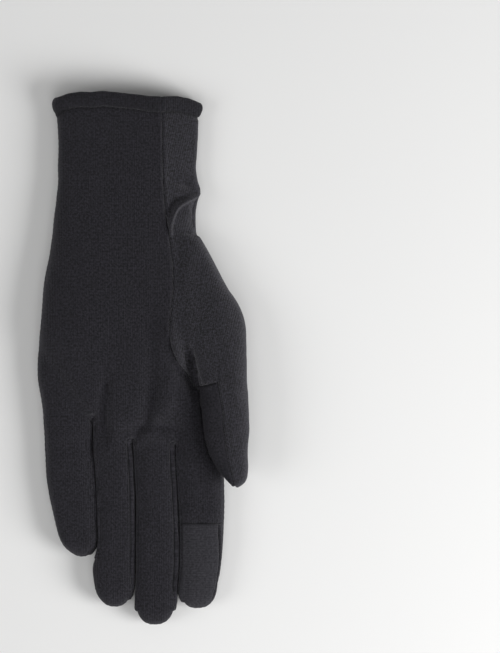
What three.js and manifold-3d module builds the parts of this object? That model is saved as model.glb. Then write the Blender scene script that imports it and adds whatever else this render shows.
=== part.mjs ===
// Left-hand knit glove liner, lying on its back with the palm up.
// Cuff toward +Y, fingers toward -Y, thumb toward +X, millimetres.
import * as THREE from "three";
import Module from "manifold-3d";

const wasm = await Module();
wasm.setup();
const { Manifold, CrossSection, Mesh: SolidMesh } = wasm;

// Driving dimensions
const gloveLength = 256;
const palmWidth = 84;
const palmHeight = 20;
const fingerHeight = 13;
const seamLevel = 6;
const wall = 1.2;
const hemWall = 2.4;
const hemDepth = 8;
const hemFlare = 2.2;
const seamGap = 0.3;
const slitGap = 0.8;
const knuckleSkew = -15.5;
const knuckleBow = 23.9;
const knuckleLean = 5.5;
const cuffSkew = -0.9;
const cuffBow = -3.2;
const thumbClearance = 0.8;

// Resolution
const bodyPoints = 30;
const fingerPoints = 14;
const thumbPoints = 16;
const facetTolerance = 0.02;

// Hand rows: along the length, little-finger edge, thumb edge, height, knuckle swing
const bodyRows = [
  [0.071, -0.491, 0.311, 0.75, 0],
  [0.112, -0.486, 0.306, 0.75, 0],
  [0.146, -0.489, 0.300, 0.78, 0],
  [0.169, -0.489, 0.311, 0.78, 0],
  [0.189, -0.494, 0.329, 0.79, 0],
  [0.208, -0.500, 0.309, 0.80, 0],
  [0.234, -0.511, 0.297, 0.82, 0],
  [0.270, -0.520, 0.300, 0.85, 0],
  [0.309, -0.537, 0.311, 0.88, 0],
  [0.356, -0.568, 0.334, 0.93, 0],
  [0.403, -0.580, 0.354, 0.98, 0.05],
  [0.449, -0.587, 0.369, 1.00, 0.15],
  [0.496, -0.593, 0.383, 1.00, 0.33],
  [0.543, -0.596, 0.397, 0.96, 0.51],
  [0.590, -0.598, 0.413, 0.90, 0.71],
  [0.630, -0.600, 0.424, 0.83, 0.89],
  [0.660, -0.601, 0.434, 0.74, 1.00],
];

// Lines between the fingers: along, outer little, little-ring, ring-middle, middle-index, outer index
const fingerLines = [
  [0.455, -0.596, -0.291, -0.079, 0.160, 0.385],
  [0.500, -0.601, -0.291, -0.079, 0.161, 0.392],
  [0.525, -0.602, -0.291, -0.078, 0.162, 0.400],
  [0.552, -0.596, -0.291, -0.077, 0.163, 0.407],
  [0.590, -0.583, -0.291, -0.074, 0.169, 0.426],
  [0.627, -0.575, -0.290, -0.070, 0.174, 0.437],
  [0.665, -0.567, -0.287, -0.062, 0.180, 0.446],
  [0.712, -0.554, -0.278, -0.053, 0.187, 0.454],
  [0.758, -0.535, -0.270, -0.047, 0.196, 0.459],
  [0.805, -0.510, -0.264, -0.043, 0.203, 0.461],
  [0.852, -0.480, -0.264, -0.043, 0.206, 0.458],
  [0.890, -0.454, -0.295, -0.045, 0.205, 0.446],
  [0.927, -0.443, -0.283, -0.049, 0.198, 0.424],
  [1.002, -0.443, -0.271, -0.057, 0.190, 0.410],
];

// Fingers: first row, tip along, tip across, rounded end, height at the root and near the tip
const fingers = {
  little: { line: 1, start: 0.475, tip: 0.8699, across: -0.354, round: 0.0412, root: 0.98, end: 0.82 },
  ring: { line: 2, start: 0.570, tip: 0.9682, across: -0.169, round: 0.0506, root: 1.06, end: 0.88 },
  middle: { line: 3, start: 0.585, tip: 1.0000, across: 0.066, round: 0.0600, root: 1.08, end: 0.90 },
  index: { line: 4, start: 0.570, tip: 0.9682, across: 0.309, round: 0.0400, root: 1.06, end: 0.90 },
};

// Thumb rows: along, inner edge, outer edge, underside, top
const thumbRows = [
  [0.273, 0.209, 0.300, 0.25, 0.72],
  [0.303, 0.197, 0.357, 0.15, 0.80],
  [0.337, 0.191, 0.423, 0.10, 0.86],
  [0.371, 0.189, 0.477, 0.10, 0.92],
  [0.401, 0.186, 0.540, 0.12, 0.97],
  [0.427, 0.188, 0.573, 0.17, 1.03],
  [0.459, 0.210, 0.586, 0.25, 1.11],
  [0.491, 0.252, 0.589, 0.30, 1.19],
  [0.524, 0.286, 0.594, 0.38, 1.26],
  [0.558, 0.317, 0.600, 0.45, 1.30],
  [0.597, 0.337, 0.603, 0.49, 1.30],
  [0.637, 0.349, 0.600, 0.50, 1.28],
  [0.670, 0.369, 0.595, 0.51, 1.25],
  [0.693, 0.394, 0.594, 0.52, 1.22],
  [0.712, 0.429, 0.591, 0.54, 1.19],
  [0.727, 0.466, 0.584, 0.59, 1.13],
  [0.737, 0.496, 0.562, 0.68, 1.03],
  [0.7416, 0.515, 0.545, 0.78, 0.94],
];
const thumbCrotch = 0.556;

// Seam of the palm against the thumb and side panel: along, across
const palmSeam = [
  [-0.020, 0.103], [0.034, 0.106], [0.112, 0.111], [0.187, 0.117], [0.247, 0.134],
  [0.290, 0.154], [0.337, 0.169], [0.393, 0.166], [0.434, 0.154], [0.459, 0.151],
  [0.487, 0.163], [0.511, 0.197], [0.530, 0.249], [0.556, 0.294], [0.573, 0.449],
  [0.577, 0.551],
];

// Seam of the back against the thumb and side panel: along, across
const backSeam = [
  [-0.020, 0.208], [0.039, 0.208], [0.109, 0.214], [0.188, 0.214], [0.246, 0.220],
  [0.301, 0.262], [0.359, 0.315], [0.441, 0.363], [0.531, 0.387], [0.562, 0.411],
  [0.570, 0.536],
];

// Gussets between the fingers: slit, palm end, back end, seam offsets toward the little finger and the thumb
const gussets = [
  { name: "fourchette_ring_little", line: 2, palmEnd: -27.8, backEnd: -31.2, palm: [1.2, 1.2], back: [4, 2] },
  { name: "fourchette_middle_ring", line: 3, palmEnd: -38.9, backEnd: -45, palm: [2.6, 1.2], back: [6, 2] },
  { name: "fourchette_index_middle", line: 4, palmEnd: -40.8, backEnd: -47.5, palm: [2.6, 1.2], back: [8, 2] },
];
const gussetTips = [0.8699, 0.9682, 1.0, 0.9682];

// Touch fabric: start of the index patch and outline of the thumb panel, along and across
const patchStart = 0.811;
const thumbTouch = [
  [0.561, 0.266], [0.5555, 0.313], [0.5463, 0.421], [0.592, 0.449], [0.637, 0.461],
  [0.676, 0.473], [0.710, 0.497], [0.734, 0.517], [0.753, 0.529], [0.753, 0.266],
];
const thumbTouchLevel = 14;

// Soft folds and dents on the palm side: across, along, half sizes, depth (negative rises)
const softFolds = [
  [0.205, 0.208, 0.055, 0.014, 1.6],
  [0.220, 0.240, 0.060, 0.012, -1.0],
  [0.140, 0.500, 0.090, 0.020, 1.4],
  [0.050, 0.600, 0.060, 0.030, 0.9],
  [-0.220, 0.570, 0.040, 0.040, 0.8],
  [-0.410, 0.590, 0.040, 0.035, 0.7],
  [-0.200, 0.330, 0.150, 0.060, -0.5],
];

const colours = {
  palm: "#27262b",
  side: "#2a292e",
  thumb: "#2c2b30",
  patch: "#353439",
};

const lengthAt = (share) => gloveLength * (0.5 - share);
const acrossAt = (share) => palmWidth * share;

// Linear look-up of one column of a table by its first column
function lookUp(table, share, column) {
  let row = 1;
  while (row < table.length - 1 && table[row][0] < share) {
    row += 1;
  }
  const [low, high] = [table[row - 1], table[row]];
  const part = Math.min(1, Math.max(0, (share - low[0]) / (high[0] - low[0])));
  return low[column] + (high[column] - low[column]) * part;
}

// Height taken off the upper skin by the soft folds at a point
function foldDepth(x, y) {
  let depth = 0;
  for (const [across, along, halfAcross, halfAlong, amount] of softFolds) {
    const dx = (x - acrossAt(across)) / (halfAcross * palmWidth);
    const dy = (y - lengthAt(along)) / (halfAlong * gloveLength);
    depth += amount * Math.exp(-dx * dx - dy * dy);
  }
  return depth;
}

// One closed ring of points round a section, drawn in by inset
function sectionRing(row, points, inset) {
  const ring = [];
  const centre = (row.left + row.right) / 2;
  const half = (row.right - row.left) / 2 - inset;
  const upperPower = 2 / row.upper;
  const lowerPower = 2 / row.lower;
  for (let step = 0; step < points; step += 1) {
    const turn = (2 * Math.PI * step) / points;
    const cosine = Math.cos(turn);
    const sine = Math.sin(turn);
    const power = sine >= 0 ? upperPower : lowerPower;
    const u = Math.sign(cosine) * Math.abs(cosine) ** power;
    const rise = Math.abs(sine) ** power;
    const x = centre + half * u;
    const lean = sine < 0 ? -row.lean * rise : 0;
    const y = row.y + row.skew * u + row.bow * u * u + lean;
    let z = row.seam;
    if (sine > 1e-9) {
      z += (row.high - inset - row.seam) * rise - (row.soft ? foldDepth(x, y) * rise : 0);
    }
    if (sine < -1e-9) {
      const drop = row.seam - row.low - inset + row.sag;
      z = Math.max(row.low + inset, row.seam - drop * rise);
    }
    ring.push([x, y, z]);
  }
  return ring;
}

// Closed solid through a list of rings, each end closed from its upper to its lower edge
function ringSolid(rings) {
  const points = rings[0].length;
  const triangles = [];
  for (let row = 0; row < rings.length - 1; row += 1) {
    for (let step = 0; step < points; step += 1) {
      const next = (step + 1) % points;
      const here = row * points;
      const there = here + points;
      triangles.push(here + step, there + step, there + next);
      triangles.push(here + step, there + next, here + next);
    }
  }
  for (const row of [0, rings.length - 1]) {
    const here = row * points;
    for (let step = 0; step < points / 2; step += 1) {
      const [upper, upperNext] = [step, step + 1];
      const [lower, lowerNext] = [(points - step) % points, points - step - 1];
      const corners = [];
      if (upperNext !== lowerNext) {
        corners.push([upper, upperNext, lowerNext]);
      }
      if (upper !== lower) {
        corners.push([upper, lowerNext, lower]);
      }
      for (const [a, b, c] of corners) {
        const turned = row === 0 ? [a, b, c] : [a, c, b];
        triangles.push(...turned.map((corner) => here + corner));
      }
    }
  }
  return solidFrom(rings.flat(2), triangles);
}

function solidFrom(positions, triangles) {
  const mesh = new SolidMesh({
    numProp: 3,
    vertProperties: new Float32Array(positions),
    triVerts: new Uint32Array(triangles),
  });
  const solid = new Manifold(mesh);
  return solid.volume() > 0 ? solid : solidFrom(positions, flipped(triangles));
}

function flipped(triangles) {
  const turned = [];
  for (let corner = 0; corner < triangles.length; corner += 3) {
    turned.push(triangles[corner], triangles[corner + 2], triangles[corner + 1]);
  }
  return turned;
}

function section(y, left, right, low, seam, high, extra = {}) {
  const base = { skew: 0, bow: 0, lean: 0, sag: 1, upper: 2.6, lower: 3.4, soft: true };
  return { y, left, right, low, seam, high, ...base, ...extra };
}

// Hand without fingers, from the hem down to the knuckles
function bodySolid(inset) {
  const start = (hemDepth + seamGap) / gloveLength;
  const rows = [[start, -0.500, 0.314, 0.74, 0], ...bodyRows];
  const sections = rows.map(([along, ulnar, radial, height, swing]) => {
    const cuffPart = Math.max(0, 1 - (along - start) / 0.1);
    return section(lengthAt(along), acrossAt(ulnar), acrossAt(radial), 0, seamLevel, palmHeight * height, {
      skew: knuckleSkew * swing + cuffSkew * cuffPart,
      bow: knuckleBow * swing + cuffBow * cuffPart,
      lean: knuckleLean * swing,
    });
  });
  if (inset > 0) {
    sections[0].y += 6;
    sections[sections.length - 1].y += inset;
  }
  return ringSolid(sections.map((row) => sectionRing(row, bodyPoints, inset)));
}

// One finger with a rounded tip
function fingerSolid(finger, inset) {
  const tipY = lengthAt(finger.tip) + inset;
  const roundY = lengthAt(finger.tip - finger.round);
  const straight = [0, 0.2, 0.4, 0.6, 0.8, 1];
  const rounded = [0.35, 0.62, 0.82, 0.94, 0.99];
  const sections = [];
  const addSection = (y, squeeze, part) => {
    const share = 0.5 - y / gloveLength;
    const edge = slitGap / 2;
    const left = acrossAt(lookUp(fingerLines, share, finger.line)) + (finger.line > 1 ? edge : 0);
    const right = acrossAt(lookUp(fingerLines, share, finger.line + 1)) - (finger.line < 4 ? edge : 0);
    const middle = (left + right) / 2;
    const centre = middle + (acrossAt(finger.across) - middle) * part * part;
    const half = ((right - left) / 2 - inset) * squeeze + inset;
    const run = (y - lengthAt(finger.start)) / (roundY - lengthAt(finger.start));
    const height = fingerHeight * (finger.root + (finger.end - finger.root) * Math.min(1, run));
    const high = seamLevel + (height - seamLevel - inset) * squeeze + inset;
    const low = seamLevel - (seamLevel - inset) * squeeze - inset;
    sections.push(section(y, centre - half, centre + half, low, seamLevel, high, { soft: false, upper: 2.3 }));
  };
  for (const part of straight) {
    const y = lengthAt(finger.start) + (roundY - lengthAt(finger.start)) * part;
    addSection(y, 1, 0);
  }
  for (const part of rounded) {
    const y = roundY + (tipY - roundY) * part;
    addSection(y, Math.sqrt(1 - part * part), part);
  }
  return ringSolid(sections.map((row) => sectionRing(row, fingerPoints, inset)));
}

// Thumb, drawn in by a positive inset or grown by a negative one, from a given row on
function thumbSolid(inset, first = 0) {
  const tipY = lengthAt(thumbRows[thumbRows.length - 1][0]) + inset;
  const sections = thumbRows.slice(first).map(([along, inner, outer, low, high]) => {
    const [bottom, top] = [low * palmHeight, high * palmHeight];
    const y = Math.max(lengthAt(along), tipY);
    const shape = { soft: false, sag: 0, upper: 2.4, lower: 2.4 };
    return section(y, acrossAt(inner), acrossAt(outer), bottom, (bottom + top) / 2, top, shape);
  });
  if (inset > 0) {
    sections.pop();
    sections[sections.length - 1].y = tipY;
  }
  if (inset < 0) {
    sections[sections.length - 1].y = tipY;
  }
  return ringSolid(sections.map((row) => sectionRing(row, thumbPoints, inset)));
}

// Turned hem at the wrist opening, a band with a rounded outside
function hemSolid() {
  const profile = [[0, -1.0], [0.10, -0.2], [0.5, 0], [0.88, -0.3], [1, -1.1]];
  const rows = (inset, overrun) => profile.map(([part, draw], place) => {
    const ends = place === 0 ? overrun : place === profile.length - 1 ? -overrun : 0;
    const y = gloveLength / 2 - hemDepth * part + ends;
    const flare = hemFlare + (inset > 0 ? 0 : draw);
    const left = acrossAt(-0.500) - flare;
    const right = acrossAt(0.314) + flare;
    const high = palmHeight * 0.74 + flare * 0.6;
    const bowed = { skew: cuffSkew, bow: cuffBow, soft: false };
    return sectionRing(section(y, left, right, 0, seamLevel, high, bowed), bodyPoints, inset);
  });
  return ringSolid(rows(0, 0)).subtract(ringSolid(rows(hemWall, 2)));
}

// Upright block over an outline given by along and across shares
function regionBlock(outline, low, high, grow = 0) {
  return blockOver(outline.map(([along, across]) => [acrossAt(across), lengthAt(along)]), low, high, grow);
}

function blockOver(points, low, high, grow = 0) {
  const area = new CrossSection([points], "Positive");
  const outline = area.area() > 0 ? area : new CrossSection([[...points].reverse()], "Positive");
  const sized = grow === 0 ? outline : outline.offset(grow, "Miter", 2);
  return Manifold.extrude(sized, high - low).translate([0, 0, low]);
}

// Outline of one gusset on one side of the hand, following its slit
function gussetOutline(gusset, endY, [ulnar, radial]) {
  const taper = (y, tip) => Math.min(1, Math.max(0.25, (y - lengthAt(tip)) / 18));
  const ulnarTip = gussetTips[gusset.line - 2];
  const radialTip = gussetTips[gusset.line - 1];
  const lastY = lengthAt(Math.max(ulnarTip, radialTip)) - 4;
  const left = [];
  const right = [];
  const steps = 9;
  for (let step = 0; step <= steps; step += 1) {
    const y = endY - 1.6 + ((lastY - endY + 1.6) * step) / steps;
    const x = acrossAt(lookUp(fingerLines, 0.5 - y / gloveLength, gusset.line));
    left.push([x - ulnar * taper(y, ulnarTip), y]);
    right.push([x + radial * taper(y, radialTip), y]);
  }
  const crown = acrossAt(lookUp(fingerLines, 0.5 - endY / gloveLength, gusset.line));
  return [[crown - ulnar * 0.45, endY], ...left, ...right.reverse(), [crown + radial * 0.45, endY]];
}

// Largest closed body of a solid, without crumbs left by the cuts
function mainBody(solid) {
  const bodies = solid.decompose();
  bodies.sort((a, b) => b.volume() - a.volume());
  return bodies[0];
}

const group = new THREE.Group();

function addPiece(name, solid, colour, roughness) {
  const result = mainBody(solid).simplify(facetTolerance).getMesh();
  const geometry = new THREE.BufferGeometry();
  geometry.setAttribute("position", new THREE.BufferAttribute(new Float32Array(result.vertProperties), 3));
  geometry.setIndex(new THREE.BufferAttribute(new Uint32Array(result.triVerts), 1));
  geometry.computeVertexNormals();
  const material = new THREE.MeshStandardMaterial({ color: colour, roughness, metalness: 0 });
  const piece = new THREE.Mesh(geometry, material);
  piece.name = name;
  group.add(piece);
}

// Hollow hand: outer skin less the space inside, dented under the free part of the thumb
const freeThumbRow = thumbRows.findIndex(([along]) => along >= thumbCrotch);
const fingerList = Object.values(fingers);
const handOuter = Manifold.union([bodySolid(0), ...fingerList.map((finger) => fingerSolid(finger, 0))])
  .subtract(thumbSolid(-thumbClearance, freeThumbRow));
const handInner = Manifold.union([bodySolid(wall), ...fingerList.map((finger) => fingerSolid(finger, wall))])
  .subtract(thumbSolid(-thumbClearance - wall, freeThumbRow));
const handSkin = handOuter.subtract(handInner);

const thumbOuter = thumbSolid(0);
const thumbInner = thumbSolid(wall);
const thumbSkin = thumbOuter.subtract(thumbInner).subtract(handInner);

// Regions of the pattern pieces
const [floorLow, ceiling] = [-5, 40];
const outside = 0.9;
const sideTop = [...palmSeam, [0.577, outside], [-0.020, outside]];
const sideBottom = [...backSeam, [0.570, outside], [-0.020, outside]];
const sideRegion = (grow) => regionBlock(sideTop, seamLevel, ceiling, grow)
  .add(regionBlock(sideBottom, floorLow, seamLevel, grow));
const gussetRegion = (gusset, grow) => {
  const top = blockOver(gussetOutline(gusset, gusset.palmEnd, gusset.palm), seamLevel, ceiling, grow);
  const bottom = blockOver(gussetOutline(gusset, gusset.backEnd, gusset.back), floorLow, seamLevel, grow);
  return top.add(bottom);
};
const patchRegion = (grow) => regionBlock(
  [[patchStart, 0.19], [patchStart, 0.52], [1.02, 0.52], [1.02, 0.16], [0.86, 0.19]],
  seamLevel, ceiling, grow,
);
const gussetRegions = gussets.map((gusset) => gussetRegion(gusset, seamGap));
const upperHalf = blockOver([[-90, -150], [90, -150], [90, 150], [-90, 150]], seamLevel + seamGap / 2, ceiling);
const lowerHalf = blockOver([[-90, -150], [90, -150], [90, 150], [-90, 150]], floorLow, seamLevel - seamGap / 2);

const fingerAndPalmSkin = gussetRegions.reduce((skin, region) => skin.subtract(region), handSkin)
  .subtract(sideRegion(seamGap))
  .subtract(thumbSolid(-seamGap));
const palmSkin = fingerAndPalmSkin.intersect(upperHalf);

addPiece("palm_panel", palmSkin.subtract(patchRegion(seamGap)), colours.palm, 0.95);
addPiece("index_touch_patch", palmSkin.intersect(patchRegion(0)), colours.patch, 0.85);
addPiece("back_panel", fingerAndPalmSkin.intersect(lowerHalf), colours.palm, 0.95);
for (const gusset of gussets) {
  addPiece(gusset.name, handSkin.intersect(gussetRegion(gusset, 0)), colours.palm, 0.95);
}

const thumbAndSide = handSkin.intersect(sideRegion(0)).subtract(thumbInner).add(thumbSkin);
const touchBlock = (grow) => regionBlock(thumbTouch, thumbTouchLevel - grow, ceiling, grow);
addPiece("thumb_panel", thumbAndSide.subtract(touchBlock(seamGap)), colours.thumb, 0.95);
addPiece("thumb_touch_panel", thumbSkin.intersect(touchBlock(0)), colours.side, 0.9);
addPiece("cuff_hem", hemSolid(), colours.palm, 0.95);

export default group;
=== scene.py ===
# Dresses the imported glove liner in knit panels, sewn seams and a turned hem
import math

import bmesh
import bpy
import numpy as np
from mathutils import Matrix, Vector, kdtree, noise


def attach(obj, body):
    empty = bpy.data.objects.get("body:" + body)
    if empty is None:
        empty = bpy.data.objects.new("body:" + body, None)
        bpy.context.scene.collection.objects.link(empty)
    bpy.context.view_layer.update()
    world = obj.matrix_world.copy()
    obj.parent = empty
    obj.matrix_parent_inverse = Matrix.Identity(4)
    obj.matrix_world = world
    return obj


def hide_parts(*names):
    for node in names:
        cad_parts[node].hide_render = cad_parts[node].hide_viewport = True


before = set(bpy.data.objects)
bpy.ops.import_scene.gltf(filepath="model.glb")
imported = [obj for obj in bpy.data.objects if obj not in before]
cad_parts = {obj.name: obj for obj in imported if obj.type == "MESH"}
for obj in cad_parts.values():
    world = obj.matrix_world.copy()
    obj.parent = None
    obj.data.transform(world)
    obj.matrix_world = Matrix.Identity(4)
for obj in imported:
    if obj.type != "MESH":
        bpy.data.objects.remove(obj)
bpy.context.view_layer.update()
print("frame loaded")

# The pattern is worked out in millimetres and made metres at the end
millimetre = 0.001

glove = {
    "length": 256.0,
    "palmWidth": 84.0,
    "palmHeight": 20.0,
    "fingerHeight": 13.0,
    "seamLevel": 6.0,      # height of the widest line, where palm and back meet
    "slitGap": 2.0,        # gap between fingers while the skin is made
    "slitClose": 1.20,     # how far each flank then swells into it
    "shoulder": 0.7,       # extra fullness of the fingers along the top of each slit
    "thumbGap": 2.0,       # air between the free thumb and the palm
    "voxel": 0.65,
    "fabric": 1.0,         # thickness of the jersey
    "crest": 9.5,          # where the thumb side starts to fall away
    "fullLeft": 3.3,       # squareness of the little-finger side of the hand
}

# Hand rows: along the length, little-finger edge, thumb edge, height, knuckle swing
bodyRows = np.array([
    [0.010, -0.500, 0.314, 0.72, 0],
    [0.034, -0.498, 0.314, 0.73, 0],
    [0.071, -0.491, 0.311, 0.75, 0],
    [0.112, -0.486, 0.306, 0.75, 0],
    [0.146, -0.489, 0.300, 0.78, 0],
    [0.169, -0.489, 0.311, 0.78, 0],
    [0.189, -0.494, 0.329, 0.79, 0],
    [0.208, -0.500, 0.309, 0.80, 0],
    [0.234, -0.511, 0.297, 0.82, 0],
    [0.270, -0.520, 0.300, 0.85, 0],
    [0.309, -0.537, 0.311, 0.88, 0],
    [0.356, -0.568, 0.334, 0.93, 0],
    [0.403, -0.580, 0.354, 0.98, 0.05],
    [0.449, -0.587, 0.369, 1.00, 0.15],
    [0.496, -0.593, 0.383, 1.00, 0.33],
    [0.543, -0.596, 0.397, 0.96, 0.51],
    [0.590, -0.598, 0.413, 0.90, 0.71],
    [0.630, -0.600, 0.424, 0.79, 0.89],
    [0.660, -0.601, 0.434, 0.60, 1.00],
])
knuckles = {"skew": -15.5, "bow": 23.9, "lean": 5.5}
cuff = {"skew": -0.9, "bow": -3.2, "share": 0.034, "fade": 0.1}
cuffDip = ([-44, -41, -36, -30, -25, -19, -12, -5, 3, 9, 12.5, 16, 22, 26.5],
           [1.0, 0.9, 0.1, 0, 0.7, 0.4, 1.3, 1.8, 2.3, 1.9, 1.3, 0.7, 0.7, 1.5])
# How far the thumb side falls away, along the hand
sideSlope = ([25, 58, 80, 128], [0, 0.16, 0.52, 0.58])

# Lines between the fingers: along, outer little, little-ring, ring-middle, middle-index, outer index
fingerLines = np.array([
    [0.455, -0.596, -0.291, -0.079, 0.160, 0.385],
    [0.500, -0.601, -0.291, -0.079, 0.161, 0.392],
    [0.525, -0.602, -0.291, -0.078, 0.162, 0.400],
    [0.552, -0.596, -0.291, -0.077, 0.163, 0.407],
    [0.590, -0.583, -0.291, -0.074, 0.169, 0.426],
    [0.627, -0.575, -0.290, -0.070, 0.174, 0.437],
    [0.665, -0.567, -0.287, -0.062, 0.180, 0.446],
    [0.712, -0.554, -0.278, -0.053, 0.187, 0.454],
    [0.758, -0.535, -0.270, -0.047, 0.196, 0.459],
    [0.805, -0.510, -0.264, -0.043, 0.203, 0.461],
    [0.852, -0.480, -0.264, -0.043, 0.206, 0.458],
    [0.890, -0.454, -0.290, -0.045, 0.205, 0.446],
    [0.927, -0.443, -0.283, -0.049, 0.198, 0.424],
    [1.002, -0.443, -0.271, -0.057, 0.190, 0.410],
])
fingers = {
    "little": {"line": 1, "start": 0.475, "tip": 0.8750, "across": -0.354, "round": 0.0412, "root": 1.06, "end": 0.92},
    "ring": {"line": 2, "start": 0.570, "tip": 0.9690, "across": -0.169, "round": 0.0506, "root": 1.06, "end": 0.88},
    "middle": {"line": 3, "start": 0.585, "tip": 1.0020, "across": 0.066, "round": 0.0600, "root": 1.08, "end": 0.90},
    "index": {"line": 4, "start": 0.570, "tip": 0.9725, "across": 0.309, "round": 0.0400, "root": 1.06, "end": 0.90},
}

# Thumb rows: along, inner edge, outer edge, underside, top
thumbRows = np.array([
    [0.273, 0.209, 0.318, 0.25, 0.72],
    [0.303, 0.197, 0.374, 0.15, 0.80],
    [0.337, 0.191, 0.430, 0.10, 0.86],
    [0.371, 0.189, 0.482, 0.10, 0.92],
    [0.401, 0.186, 0.540, 0.12, 0.97],
    [0.427, 0.188, 0.573, 0.17, 1.03],
    [0.459, 0.210, 0.586, 0.25, 1.11],
    [0.491, 0.252, 0.589, 0.30, 1.16],
    [0.524, 0.286, 0.594, 0.38, 1.20],
    [0.558, 0.317, 0.600, 0.45, 1.23],
    [0.597, 0.337, 0.603, 0.49, 1.23],
    [0.637, 0.349, 0.600, 0.50, 1.21],
    [0.670, 0.369, 0.595, 0.51, 1.18],
    [0.693, 0.394, 0.600, 0.52, 1.16],
    [0.712, 0.429, 0.602, 0.54, 1.14],
    [0.727, 0.466, 0.597, 0.59, 1.10],
    [0.739, 0.498, 0.574, 0.68, 1.03],
    [0.7450, 0.517, 0.548, 0.78, 0.94],
])
thumb = {"tipFrom": -58.5, "tipRings": 7, "upper": 2.05, "upperLeft": 2.5, "lower": 2.4}


def curveThrough(xs, ys, x):
    # smooth curve through a table's points
    slopes = np.gradient(ys, xs)
    x = np.clip(x, xs[0], xs[-1])
    k = np.clip(np.searchsorted(xs, x) - 1, 0, len(xs) - 2)
    span = xs[k + 1] - xs[k]
    t = (x - xs[k]) / span
    rise = (2 * t**3 - 3 * t**2 + 1) * ys[k] + (3 * t**2 - 2 * t**3) * ys[k + 1]
    return rise + span * ((t**3 - 2 * t**2 + t) * slopes[k] + (t**3 - t**2) * slopes[k + 1])


def lengthAt(share):
    return glove["length"] * (0.5 - share)


def shareAt(y):
    return 0.5 - y / glove["length"]


def slitAt(column, y):
    return glove["palmWidth"] * curveThrough(fingerLines[:, 0], fingerLines[:, column], shareAt(y))


def thumbSection(y):
    # inner edge, outer edge, underside and top of the thumb at a place along the hand
    share = shareAt(np.asarray(y, float))
    inner, outer, low, high = (curveThrough(thumbRows[:, 0], thumbRows[:, c], share) for c in (1, 2, 3, 4))
    return inner * glove["palmWidth"], outer * glove["palmWidth"], low * glove["palmHeight"], high * glove["palmHeight"]


def underThumb(x, y):
    inner, outer, low, high = thumbSection(y)
    middle = (low + high) / 2
    u = np.abs(x - (inner + outer) / 2) / ((outer - inner) / 2)
    belly = (1 - np.minimum(u, 1) ** 2.4) ** (1 / 2.4)
    return middle - (middle - low) * belly + np.maximum(u - 1, 0) * 25


def sectionRing(row, count):
    turn = np.linspace(0, 2 * np.pi, count, endpoint=False)
    c, s = np.cos(turn), np.sin(turn)
    s[count // 2] = 0
    power = 2 / np.where(s < 0, row["lower"], np.where(c < 0, row["upperLeft"], row["upper"]))
    u = np.sign(c) * np.abs(c) ** power
    rise = np.abs(s) ** power
    x = (row["left"] + row["right"]) / 2 + (row["right"] - row["left"]) / 2 * u
    y = row["y"] + row["skew"] * u + row["bow"] * u * u - np.where(s < 0, row["lean"] * rise, 0)
    sloped = row["fall"] * np.clip((x - row["ridge"]) / (row["right"] - row["ridge"]), 0, 1)
    upper = row["seam"] + (row["high"] - row["seam"]) * rise * (1 - sloped)
    lower = np.maximum(row["low"], row["seam"] - (row["seam"] - row["low"] + row["sag"]) * rise)
    z = np.where(s >= 0, upper, lower)
    if row["underThumb"]:
        gap = np.interp(-y, [4, 10, 17], [-9, -3, glove["thumbGap"]])
        near = (y > -62) & (y < -4) & (s > 0)
        z = np.where(near, np.minimum(z, underThumb(x, y) - gap), z)
    return np.stack([x, y, z], axis=1)


def makeRow(y, left, right, low, seam, high, **extra):
    row = dict(y=y, left=left, right=right, low=low, seam=seam, high=high, skew=0, bow=0, lean=0, sag=1)
    row.update(upper=2.6, lower=3.4, underThumb=False, fall=0, ridge=0)
    row.update(extra)
    row.setdefault("upperLeft", row["upper"])
    return row


def placeLoop(loop, ring):
    for vert, point in zip(loop, ring):
        vert.co = point


def drawOut(bm, rings):
    # a circle drawn out ring by ring, with its first and last points and edges handed back
    first = bmesh.ops.create_circle(bm, cap_ends=False, radius=1, segments=len(rings[0]))["verts"]
    placeLoop(first, rings[0])
    firstEdges = list({e for v in first for e in v.link_edges})
    loop, edges = first, firstEdges
    for ring in rings[1:]:
        grown = bmesh.ops.extrude_edge_only(bm, edges=edges)["geom"]
        fresh = {g for g in grown if isinstance(g, bmesh.types.BMVert)}
        edges = [g for g in grown if isinstance(g, bmesh.types.BMEdge) and fresh.issuperset(g.verts)]
        loop = [next(e.other_vert(v) for e in v.link_edges if e.other_vert(v) in fresh) for v in loop]
        placeLoop(loop, ring)
    return first, loop, firstEdges, edges


def relax(bm, verts, times):
    for turn in range(times):
        bmesh.ops.smooth_vert(bm, verts=verts, factor=0.5, use_axis_x=True, use_axis_y=True, use_axis_z=True)


def loftTube(bm, rings):
    # a tube closed across both ends
    count = len(rings[0])
    for end in drawOut(bm, rings)[:2]:
        for k in range(count // 2):
            corners = [end[k], end[k + 1], end[count - k - 1], end[(count - k) % count]]
            bm.faces.new(list(dict.fromkeys(corners)))


def bodyRings(step=2.2, count=132):
    shares = np.arange(bodyRows[0, 0], bodyRows[-1, 0] + 1e-6, step / glove["length"])
    shares[-1] = bodyRows[-1, 0]
    rings = []
    for share in shares:
        row = [float(curveThrough(bodyRows[:, 0], bodyRows[:, c], share)) for c in (1, 2, 3, 4)]
        left, right, height, swing = row
        atCuff = min(1.0, max(0.0, 1 - (share - cuff["share"]) / cuff["fade"]))
        rings.append(sectionRing(makeRow(
            lengthAt(share), left * glove["palmWidth"], right * glove["palmWidth"], 0, glove["seamLevel"],
            height * glove["palmHeight"],
            skew=knuckles["skew"] * swing + cuff["skew"] * atCuff,
            bow=knuckles["bow"] * swing + cuff["bow"] * atCuff,
            lean=knuckles["lean"] * swing, underThumb=True, upperLeft=glove["fullLeft"],
            fall=np.interp(lengthAt(share), *sideSlope), ridge=glove["crest"]), count))
    return rings


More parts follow.
